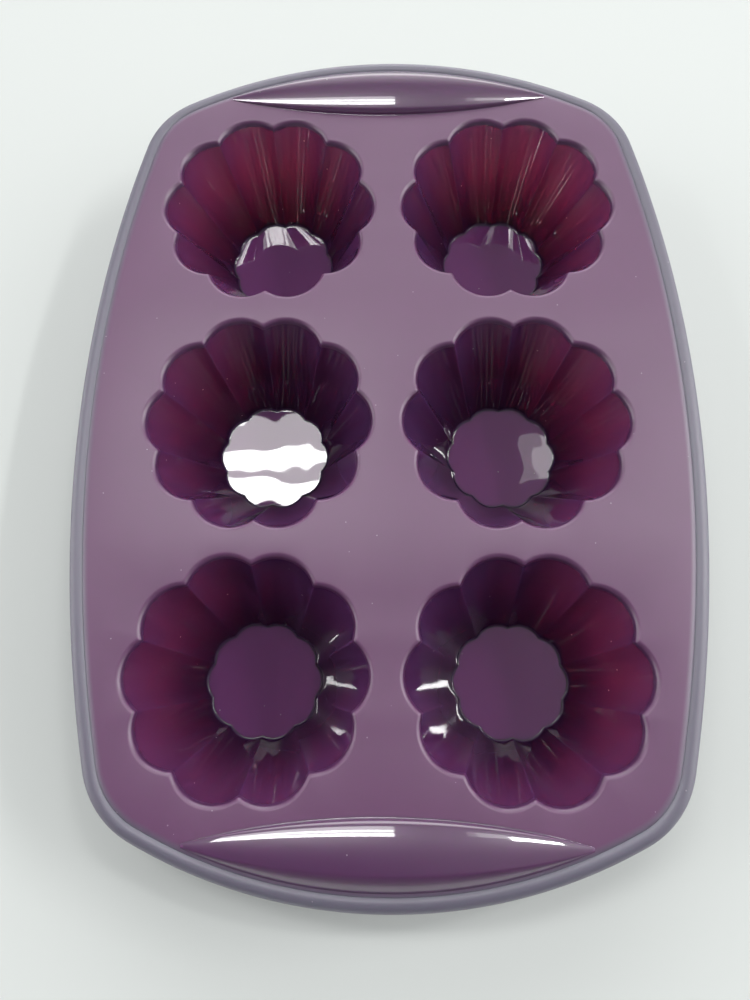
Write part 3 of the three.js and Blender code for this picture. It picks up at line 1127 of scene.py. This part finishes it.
@dataclass
class Deck:
    """The flat sheet that carries the cups, in millimetres.

    Attributes:
        outline: Plan of the mould.
        levels: Heights of the mould.
        rim: Bead that it meets.
        grips: Pads that stand over its end openings.
        cups: Cups that hang from it.
        shoulder: Width of the rounded margin next to the groove.
        groove_drop: Depth of the groove under the deck's top.
        tuck: How far the margin tucks in under the bead.
        grip_inset: How far the end openings lie inside the grips' edges.
    """

    outline: MouldOutline
    levels: Levels
    rim: Rim
    grips: list[Grip]
    cups: list[Cup]
    shoulder: float = 2.4
    groove_drop: float = 0.9
    tuck: float = 0.2
    grip_inset: float = 1.2

    SHOULDER_STEPS = 6
    MARGIN = "margin"

    def build(self, bench: Bench) -> None:
        """Builds every edge of the sheet, then closes its top and its underside."""
        bm = bmesh.new()
        for name in (CupPattern.LIP_DIP, self.MARGIN):
            bm.verts.layers.float.new(name)
        self._margin(bm)
        faces = (self.levels.deck_bottom, self.levels.deck_top)
        for grip in self.grips:
            skin(bm, [grip.lens(bm, self.grip_inset * MM, height) for height in faces])
        self._mouths(bm)
        for level in reversed(faces):
            open_edges = [edge for edge in bm.edges if edge.is_boundary
                          and all(abs(vert.co.z - level) < WELD for vert in edge.verts)]
            bmesh.ops.triangle_fill(bm, use_beauty=True, edges=open_edges, normal=UP)
        bench.piece(bm, "deck", bench.wardrobe.deck)

    def _margin(self, bm: bmesh.types.BMesh) -> None:
        """Draws the outer edge and its rounded shoulder, and marks how near the margin it is, which sets the
        painted sheen there.

        Args:
            bm: Mesh to draw in.
        """
        margin = bm.verts.layers.float[self.MARGIN]
        edge = (self.rim.groove_inset - self.tuck) * MM
        top = self.levels.deck_top
        rings = [self.outline.ring(bm, edge, self.levels.deck_bottom)]
        for rise, along in quarter_round(1.0, self.SHOULDER_STEPS):
            height = top - self.groove_drop * (1 - rise) * MM
            ring = self.outline.ring(bm, edge + self.shoulder * along * MM, height)
            for vert in verts_of(ring):
                vert[margin] = 1 - along
            rings.append(ring)
        skin(bm, rings)

    def _mouths(self, bm: bmesh.types.BMesh) -> None:
        """Draws one cup's mouth and copies it to the others.

        Args:
            bm: Mesh to draw in.
        """
        before = set(bm.verts)
        self.cups[0].pattern.draw_mouth(bm)
        first = [vert for vert in bm.verts if vert not in before]
        shape = {face for vert in first for face in vert.link_faces}
        for cup in self.cups[1:]:
            copy = bmesh.ops.duplicate(bm, geom=list(shape))["geom"]
            moved = [item for item in copy if isinstance(item, bmesh.types.BMVert)]
            bmesh.ops.translate(bm, verts=moved, vec=cup.axis)
        bmesh.ops.translate(bm, verts=first, vec=self.cups[0].axis)


@dataclass(frozen=True)
class StripLamp:
    """A long ceiling lamp that shines straight down, in metres.

    Attributes:
        name: Name of the lamp.
        along: Where it starts and ends from left to right.
        depth: Where it starts and ends from front to rear.
        radiance: Brightness of its face.
    """

    name: str
    along: Point
    depth: Point
    radiance: float

    HEIGHT = 2.0

    def hang(self) -> None:
        """Hangs the lamp."""
        light = bpy.data.lights.new(self.name, "AREA")
        light.shape = "RECTANGLE"
        light.size = self.along[1] - self.along[0]
        light.size_y = self.depth[1] - self.depth[0]
        light.energy = self.radiance * math.pi * light.size * light.size_y
        lamp = bpy.data.objects.new(self.name, light)
        lamp.location = (sum(self.along) / 2, sum(self.depth) / 2, self.HEIGHT)
        bpy.context.scene.collection.objects.link(lamp)


@dataclass(frozen=True)
class Window:
    """A broad soft brightening of the room.

    Attributes:
        heading: Direction of its middle.
        spread: Cosines of the angles at which its light starts and is full.
        level: Brightness that it adds.
    """

    heading: tuple[float, float, float]
    spread: Point
    level: float

    def glow(self, sheet: ShaderSheet, direction: bpy.types.NodeSocket,
             room: bpy.types.NodeSocket) -> bpy.types.NodeSocket:
        """Adds the window to the room's light.

        Args:
            sheet: Node tree of the room.
            direction: Direction that is looked in.
            room: Light without the window.

        Returns:
            Light with the window.
        """
        facing = sheet.add("ShaderNodeVectorMath", {1: self.heading}, operation="DOT_PRODUCT")
        sheet.link(direction, facing.inputs[0])
        pane = sheet.span(facing.outputs["Value"], self.spread, (0.0, self.level), "SMOOTHSTEP")
        both = sheet.add("ShaderNodeMix", {"Factor": 1.0}, data_type="RGBA", blend_type="ADD")
        sheet.link(room, both.inputs["A"])
        sheet.link(pane, both.inputs["B"])
        return both.outputs["Result"]


@dataclass
class Studio:
    """Pale floor, ceiling lamps and a room with a pale horizon and broad soft windows.

    Attributes:
        floor_colour: Colour of the floor, linear.
        floor_size: Side of the floor, in metres.
        room_colour: Colour of the room, linear.
        room_bands: Sine of the height over the horizon and the brightness there.
        windows: Windows of the room.
        lamps: Lamps under the ceiling.
    """

    floor_colour: Colour = (0.715, 0.745, 0.725)
    floor_size: float = 40.0
    room_colour: Colour = (0.95, 0.98, 1.0)
    room_bands: tuple[Point, ...] = ((0.0, 0.32), (0.07, 0.26), (0.22, 0.14), (1.0, 0.14))
    windows: tuple[Window, ...] = (
        Window((0.0, 0.94, 0.34), (0.80, 1.0), 3.0),
        Window((0.97, 0.1, 0.22), (0.75, 1.0), 2.3),
        Window((0.75, 0.15, 0.64), (0.5, 1.0), 0.3),
        Window((-0.97, 0.1, 0.22), (0.75, 1.0), 2.3),
        Window((0.0, -0.99, 0.14), (0.7, 1.0), 0.06),
    )
    lamps: tuple[StripLamp, ...] = (
        StripLamp("near_tube", (-0.95, 0.035), (0.525, 0.618), 15.0),
        StripLamp("far_tube", (-0.95, 0.035), (0.651, 0.713), 15.0),
        StripLamp("reflector", (-0.95, 0.035), (0.525, 0.829), 4.0),
        StripLamp("side_tube", (0.65, 0.95), (0.55, 0.70), 40.0),
        StripLamp("side_glow", (0.47, 0.65), (0.60, 0.75), 2.4),
        StripLamp("side_halo", (0.42, 0.47), (0.60, 0.75), 1.0),
        StripLamp("right_tube", (1.95, 2.10), (0.0, 1.2), 48.0),
        StripLamp("left_tube", (-2.05, -1.97), (-0.2, 0.6), 25.0),
    )

    FLOOR_ROUGHNESS = 0.7
    FLOOR_GLOSS = 0.2

    def build(self) -> None:
        """Builds the floor, the lamps and the room."""
        self._floor()
        for lamp in self.lamps:
            lamp.hang()
        self._room()

    def _floor(self) -> None:
        """Makes the pale floor under the mould."""
        bm = bmesh.new()
        bmesh.ops.create_grid(bm, x_segments=1, y_segments=1, size=self.floor_size / 2)
        mesh = bpy.data.meshes.new("studio_floor")
        bm.to_mesh(mesh)
        bm.free()
        floor = bpy.data.objects.new("studio_floor", mesh)
        bpy.context.scene.collection.objects.link(floor)
        material = bpy.data.materials.new("studio_floor")
        material.use_nodes = True
        shader = material.node_tree.nodes["Principled BSDF"]
        shader.inputs["Base Color"].default_value = (*self.floor_colour, 1.0)
        shader.inputs["Roughness"].default_value = self.FLOOR_ROUGHNESS
        shader.inputs["Specular IOR Level"].default_value = self.FLOOR_GLOSS
        mesh.materials.append(material)

    def _room(self) -> None:
        """Lights the room in bands from the horizon up, and its windows."""
        world = bpy.data.worlds.new("pale_room")
        world.use_nodes = True
        sheet = ShaderSheet(world.node_tree)
        background = world.node_tree.nodes["Background"]
        place = sheet.add("ShaderNodeTexCoord")
        axes = sheet.add("ShaderNodeSeparateXYZ")
        bands = sheet.add("ShaderNodeValToRGB")
        stops = bands.color_ramp.elements
        stops.remove(stops[0])
        for index, (place_up, level) in enumerate(self.room_bands):
            stop = stops[0] if index == 0 else stops.new(place_up)
            stop.position = place_up
            stop.color = (*(channel * level for channel in self.room_colour), 1.0)
        sheet.link(place.outputs["Generated"], axes.inputs["Vector"])
        sheet.link(axes.outputs["Z"], bands.inputs["Fac"])
        light = bands.outputs["Color"]
        for window in self.windows:
            light = window.glow(sheet, place.outputs["Generated"], light)
        sheet.link(light, background.inputs["Color"])
        bpy.context.scene.world = world


@dataclass
class PhotoCamera:
    """Camera at the photograph's viewpoint.

    Attributes:
        offset: Place over the middle of the deck, in millimetres.
        azimuth: Turn round the mould, in degrees.
        elevation: Height over the horizon, in degrees.
        roll: Turn about the line of sight, in degrees.
        lens: Focal length for a 36 mm long side, in millimetres.
    """

    offset: tuple[float, float, float] = (0.42, -92.92, 230.62)
    azimuth: float = 3.79
    elevation: float = 74.216
    roll: float = -3.58
    lens: float = 26.85

    def build(self, levels: Levels) -> None:
        """Places the camera over the deck.

        Args:
            levels: Heights of the mould.
        """
        turn = math.radians(self.azimuth)
        tilt = math.radians(self.elevation)
        back = Vector((math.sin(turn) * math.cos(tilt), -math.cos(turn) * math.cos(tilt), math.sin(tilt)))
        right = (-back).cross(UP).normalized()
        over = right.cross(-back)
        level = Matrix((right, over, back)).transposed()
        rolled = level @ Matrix.Rotation(math.radians(self.roll), 3, "Z")
        data = bpy.data.cameras.new("photo_camera")
        data.lens = self.lens
        camera = bpy.data.objects.new("photo_camera", data)
        place = Vector(self.offset) * MM + UP * levels.deck_top
        camera.matrix_world = Matrix.Translation(place) @ rolled.to_4x4()
        bpy.context.scene.collection.objects.link(camera)
        bpy.context.scene.camera = camera


def main() -> None:
    """Builds the mould and its studio."""
    logging.basicConfig(level=logging.INFO, format="%(name)s: %(message)s")
    bpy.context.scene.view_settings.view_transform = "Standard"
    levels = Levels.read()
    PhotoCamera().build(levels)
    Studio().build()
    wardrobe = Wardrobe()
    wardrobe.open()
    bench = Bench(wardrobe)
    outline = MouldOutline.read()
    pattern = CupPattern(levels)
    names = sorted(name.removesuffix("_floor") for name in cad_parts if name.endswith("_floor"))
    cups = [Cup(name, pattern) for name in names]
    rim = Rim(outline, levels)
    grips = [Grip("rear_grip", outline, levels, 1), Grip("front_grip", outline, levels, -1)]
    for part in (rim, *grips, *cups, Deck(outline, levels, rim, grips, cups)):
        part.build(bench)


if __name__ == "__main__":
    main()
